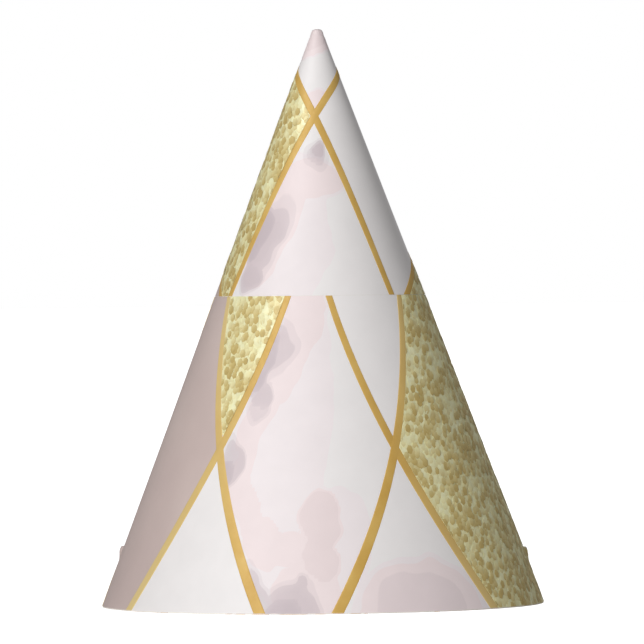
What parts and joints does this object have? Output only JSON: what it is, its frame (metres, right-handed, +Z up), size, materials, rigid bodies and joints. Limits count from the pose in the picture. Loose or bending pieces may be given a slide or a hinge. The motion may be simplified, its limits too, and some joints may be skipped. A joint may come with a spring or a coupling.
{
  "type": "party hat",
  "caption": "Pointed paper party hat: a rolled card cone under two printed tiers, crossed by gold foil lines, with glitter panels and lipped slits for a chin elastic.",
  "frame": {"origin": "centre of the hem, on the surface that the hat stands on", "axes": "+Z up to the point, -Y the decorated front, the seam at +Y"},
  "size_m": [0.146, 0.1459, 0.1905],
  "materials": {
    "card": "uncoated white inside",
    "adhesive": "clear tape",
    "printed_upper": "satin coated print, pale pink and white marble",
    "printed_lower": "satin coated print, pale marble and dusty mauve",
    "gold_foil": "metallised gold film, satin",
    "gold_glitter": "pale gold hexagon glitter"
  },
  "bodies": {
    "root": {"card_cone": "card", "tab_tape": "adhesive", "cover_upper": "printed_upper", "cover_lower": "printed_lower", "foil_net_upper": "gold_foil", "foil_net_lower": "gold_foil", "glitter_upper_left": "gold_glitter", "glitter_upper_right": "gold_glitter", "glitter_wedge_front": "gold_glitter", "glitter_diamond_right": "gold_glitter", "glitter_wedge_right": "gold_glitter", "glitter_diamond_back": "gold_glitter"}
  },
  "joints": []
}
